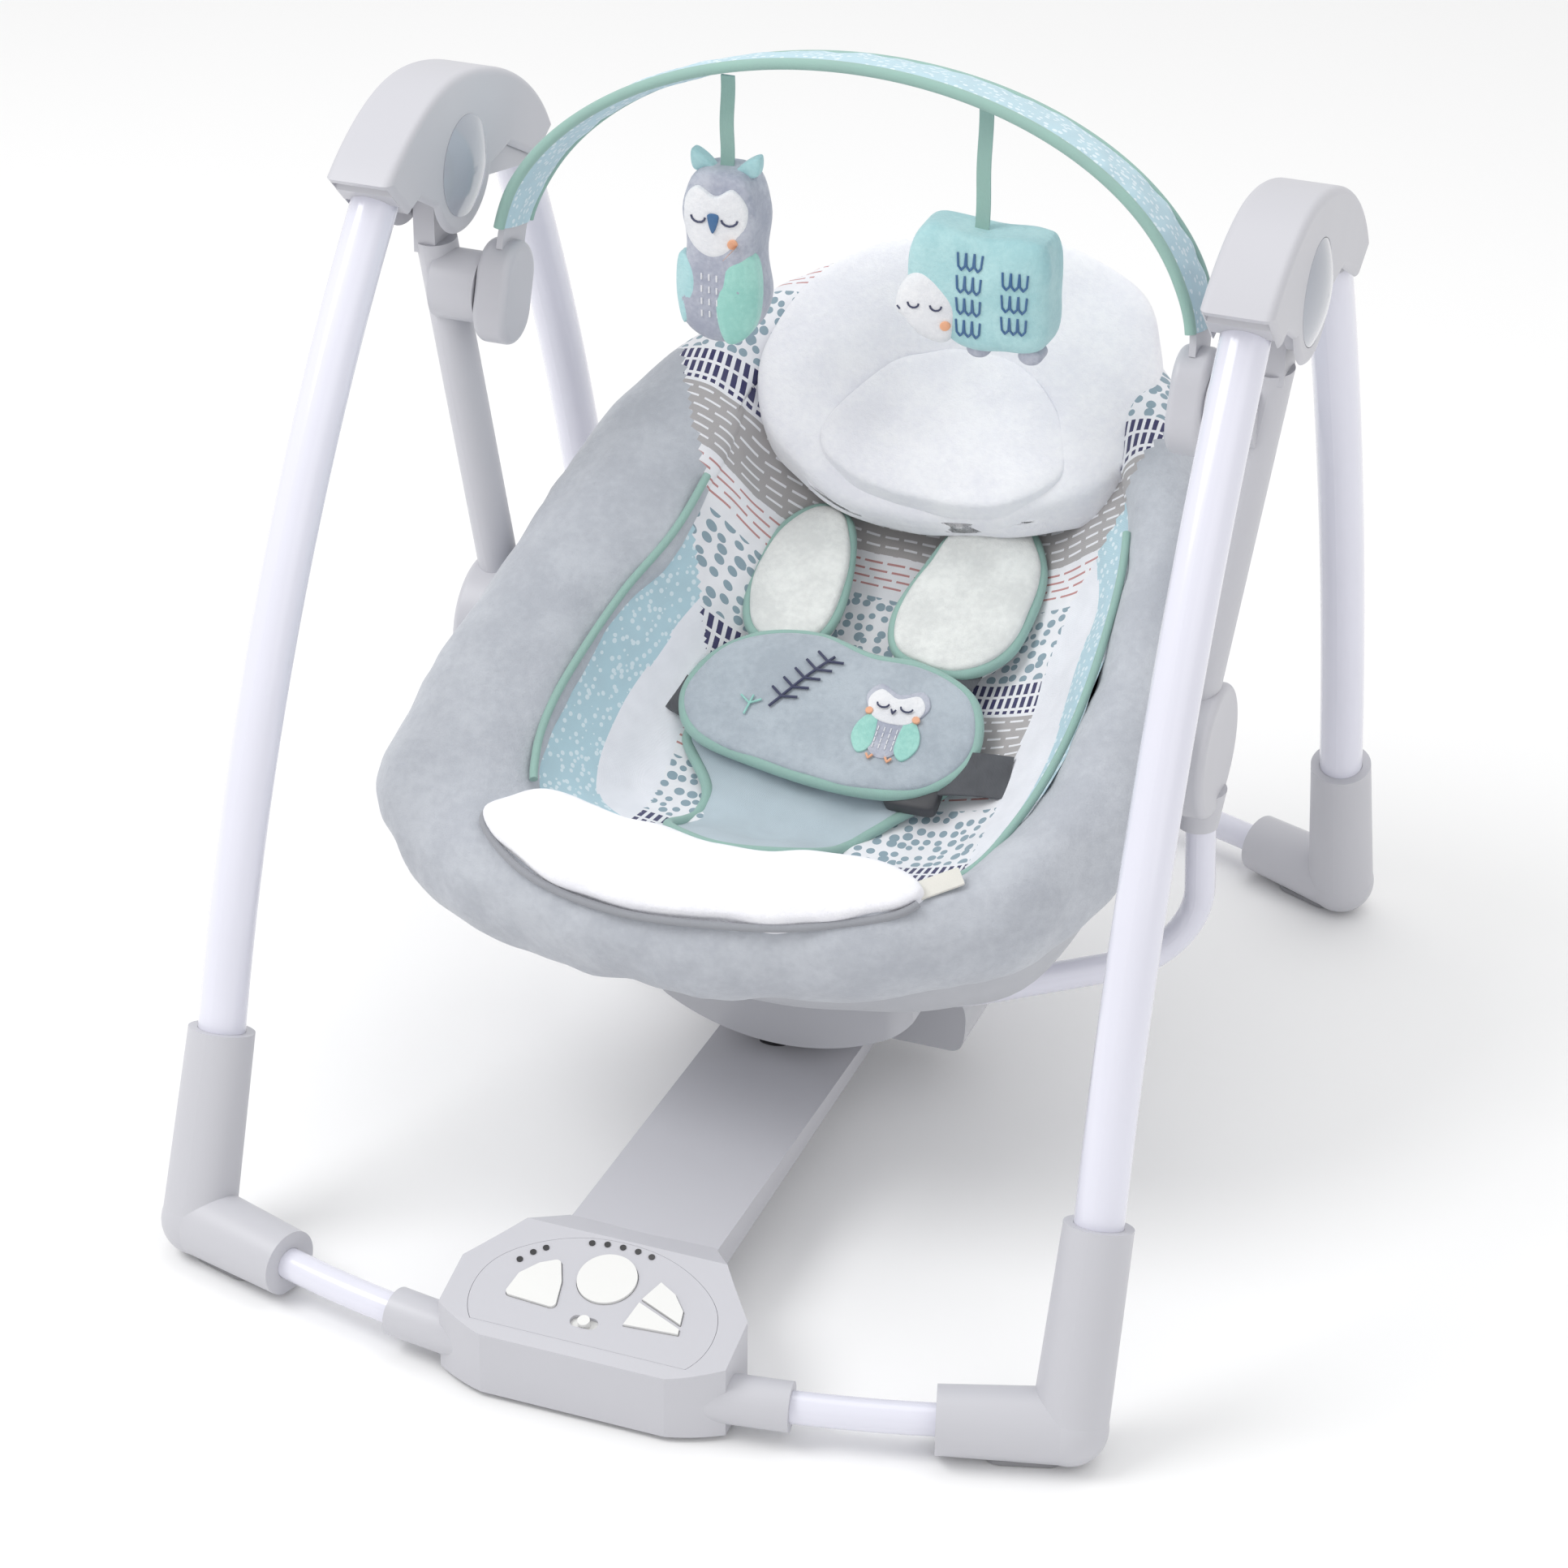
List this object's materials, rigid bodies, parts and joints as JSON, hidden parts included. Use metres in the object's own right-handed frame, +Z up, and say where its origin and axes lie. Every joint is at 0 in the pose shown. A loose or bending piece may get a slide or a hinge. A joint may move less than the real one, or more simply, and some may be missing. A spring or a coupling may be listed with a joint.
{
  "type": "baby swing",
  "caption": "Portable baby swing: folding tube A-frame, padded bucket seat slung on two arms, toy bar with two plush toys, and a floor beam drive with a control pod.",
  "frame": {"origin": "on the floor, under the middle of the frame", "axes": "+X to the right seen from the front, -Y towards the front, +Z up"},
  "size_m": [0.589, 0.796, 0.663],
  "materials": {
    "white_tube": "gloss",
    "grey_plastic": "satin",
    "gloss_grey": "gloss",
    "white_keys": "satin",
    "dark_window": "gloss",
    "lamp": "gloss",
    "pad_rubber": "matt",
    "steel": "brushed",
    "magnet": "plain",
    "copper_coil": "wound",
    "board": "plain",
    "grey_plush": "plush",
    "white_plush": "plush",
    "green_fabric": "woven",
    "spring_band": "plain",
    "toy_plush": "plush"
  },
  "bodies": {
    "front_frame": {"front_cross_tube": "white_tube", "front_foot_left": "grey_plastic", "front_foot_pads": "pad_rubber", "front_foot_right": "grey_plastic", "front_leg_left": "white_tube", "front_leg_right": "white_tube", "hub_inner_shell_left": "grey_plastic", "hub_inner_shell_right": "grey_plastic", "hub_outer_shell_left": "grey_plastic", "hub_outer_shell_right": "grey_plastic", "hub_pivot_caps": "gloss_grey", "hub_axles": "steel", "base_tray": "grey_plastic", "pod_cover": "grey_plastic", "beam_cover": "grey_plastic", "drive_head": "grey_plastic", "rear_support_tube": "white_tube", "control_panel": "grey_plastic", "indicator_lights": "lamp", "sensor_window": "dark_window", "battery_door": "grey_plastic", "batteries": "steel", "drive_coil": "copper_coil", "circuit_board": "board", "base_screws": "steel"},
    "rear_frame": {"rear_leg_right": "white_tube", "rear_leg_left": "white_tube", "rear_foot_right": "grey_plastic", "rear_foot_left": "grey_plastic", "rear_foot_pads": "pad_rubber", "rear_cross_tube": "white_tube", "rear_knuckles": "grey_plastic"},
    "swing": {"swing_arm_outer_shells": "grey_plastic", "swing_arm_inner_shells": "grey_plastic", "recline_discs": "grey_plastic", "seat_tube": "white_tube", "drive_housing_top": "grey_plastic", "drive_housing_bottom": "grey_plastic", "drive_magnet": "magnet"},
    "seat": {"seat_ring": "steel", "recline_pivots": "steel", "seat_cushion": "grey_plush", "head_support": "white_plush", "leg_rest": "white_plush", "belly_pad": "grey_plush", "harness_pads": "white_plush"},
    "toy_bar": {"toy_bar_arch": "spring_band", "toy_bar_cover": "green_fabric", "toy_bar_sockets": "grey_plastic"},
    "owl": {"owl_strap": "green_fabric", "owl_toy": "toy_plush"},
    "hedgehog": {"hedgehog_strap": "green_fabric", "hedgehog_toy": "toy_plush"},
    "speed_key": {"speed_button": "white_keys"},
    "timer_key": {"timer_button": "white_keys"},
    "melody_key": {"melody_button": "white_keys"},
    "volume_key": {"volume_button": "white_keys"},
    "power_switch": {"power_slide": "white_keys"},
    "release_right": {"hub_release_button_right": "gloss_grey"},
    "release_left": {"hub_release_button_left": "gloss_grey"}
  },
  "joints": [
    {"name": "rear_frame_fold", "type": "hinge", "parent": "front_frame", "child": "rear_frame", "pos_m": [0, 0.02, 0.57], "axis": [-1, 0, 0], "range_deg": [0, 28]},
    {"name": "swing_pivot", "type": "hinge", "parent": "front_frame", "child": "swing", "pos_m": [0, 0.02, 0.57], "axis": [1, 0, 0], "range_deg": [-12, 12]},
    {"name": "seat_recline", "type": "hinge", "parent": "swing", "child": "seat", "pos_m": [0, 0.028, 0.264], "axis": [-1, 0, 0], "range_deg": [0, 12]},
    {"name": "toy_bar_tilt", "type": "hinge", "parent": "swing", "child": "toy_bar", "pos_m": [0, 0.0175, 0.494], "axis": [1, 0, 0], "range_deg": [-15, 20]},
    {"name": "owl_hang", "type": "hinge", "parent": "toy_bar", "child": "owl", "pos_m": [-0.086, 0.0542, 0.63719], "axis": [1, 0, 0], "range_deg": [-25, 25]},
    {"name": "hedgehog_hang", "type": "hinge", "parent": "toy_bar", "child": "hedgehog", "pos_m": [0.074, 0.05486, 0.64016], "axis": [1, 0, 0], "range_deg": [-25, 25]},
    {"name": "speed_press", "type": "slide", "parent": "front_frame", "child": "speed_key", "axis": [0, 0.2807, -0.9598], "range_m": [0, 0.0015], "stiffness_N_per_m": 400, "springref_m": -0.0004},
    {"name": "timer_press", "type": "slide", "parent": "front_frame", "child": "timer_key", "axis": [0, 0.2807, -0.9598], "range_m": [0, 0.0015], "stiffness_N_per_m": 400, "springref_m": -0.0004},
    {"name": "melody_press", "type": "slide", "parent": "front_frame", "child": "melody_key", "axis": [0, 0.2807, -0.9598], "range_m": [0, 0.0015], "stiffness_N_per_m": 400, "springref_m": -0.0004},
    {"name": "volume_press", "type": "slide", "parent": "front_frame", "child": "volume_key", "axis": [0, 0.2807, -0.9598], "range_m": [0, 0.0015], "stiffness_N_per_m": 400, "springref_m": -0.0004},
    {"name": "power_slide_move", "type": "slide", "parent": "front_frame", "child": "power_switch", "axis": [1, 0, 0], "range_m": [-0.004, 0.004]},
    {"name": "release_right_press", "type": "slide", "parent": "front_frame", "child": "release_right", "axis": [-1, 0, 0], "range_m": [0, 0.003], "stiffness_N_per_m": 600, "springref_m": -0.0006},
    {"name": "release_left_press", "type": "slide", "parent": "front_frame", "child": "release_left", "axis": [1, 0, 0], "range_m": [0, 0.003], "stiffness_N_per_m": 600, "springref_m": -0.0006}
  ]
}
